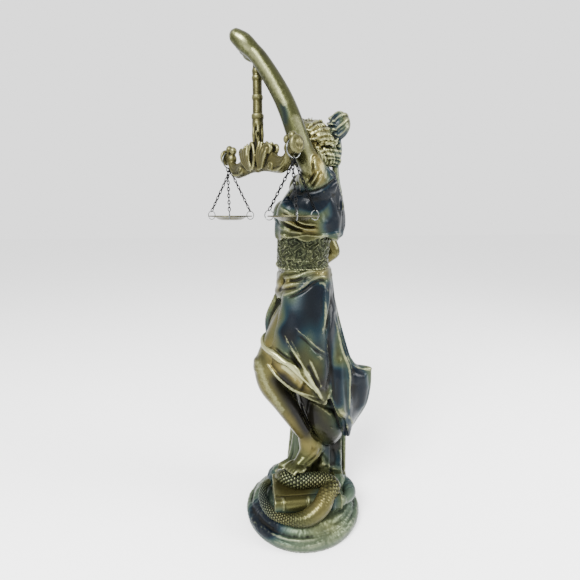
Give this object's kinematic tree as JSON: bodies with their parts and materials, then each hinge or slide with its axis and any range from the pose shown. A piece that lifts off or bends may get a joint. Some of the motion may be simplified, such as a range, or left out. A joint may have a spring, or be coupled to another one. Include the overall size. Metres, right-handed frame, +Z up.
{
  "type": "lady justice statue",
  "caption": "Cast resin figure of a draped woman on a round mound, one foot on a snake and a book, holding up a scale beam with hanging pans.",
  "frame": {"origin": "centre of the round base's flat underside", "axes": "+Z up through the figure, -Y the way the figure faces, +X the side of her raised left arm"},
  "size_m": [0.0951, 0.1097, 0.3203],
  "materials": {
    "antique_bronze_resin": "antique bronze paint with blue-green patina",
    "bronze_resin_beam": "brown bronze paint, rubbed high points",
    "steel_wire": "bright drawn wire",
    "brassy_pan": "pressed sheet, dull polish",
    "dark_chain": "blackened wire links"
  },
  "bodies": {
    "root": {"figure_and_base": "antique_bronze_resin", "scale_beam": "bronze_resin_beam", "hook_ring_near": "steel_wire", "hook_ring_far": "steel_wire", "pan_near": "brassy_pan", "pan_far": "brassy_pan", "pan_ring_near_1": "steel_wire", "pan_ring_near_2": "steel_wire", "pan_ring_near_3": "steel_wire", "pan_ring_far_1": "steel_wire", "pan_ring_far_2": "steel_wire", "pan_ring_far_3": "steel_wire", "chain_near_1": "dark_chain", "chain_near_2": "dark_chain", "chain_near_3": "dark_chain", "chain_far_1": "dark_chain", "chain_far_2": "dark_chain", "chain_far_3": "dark_chain"}
  },
  "joints": []
}
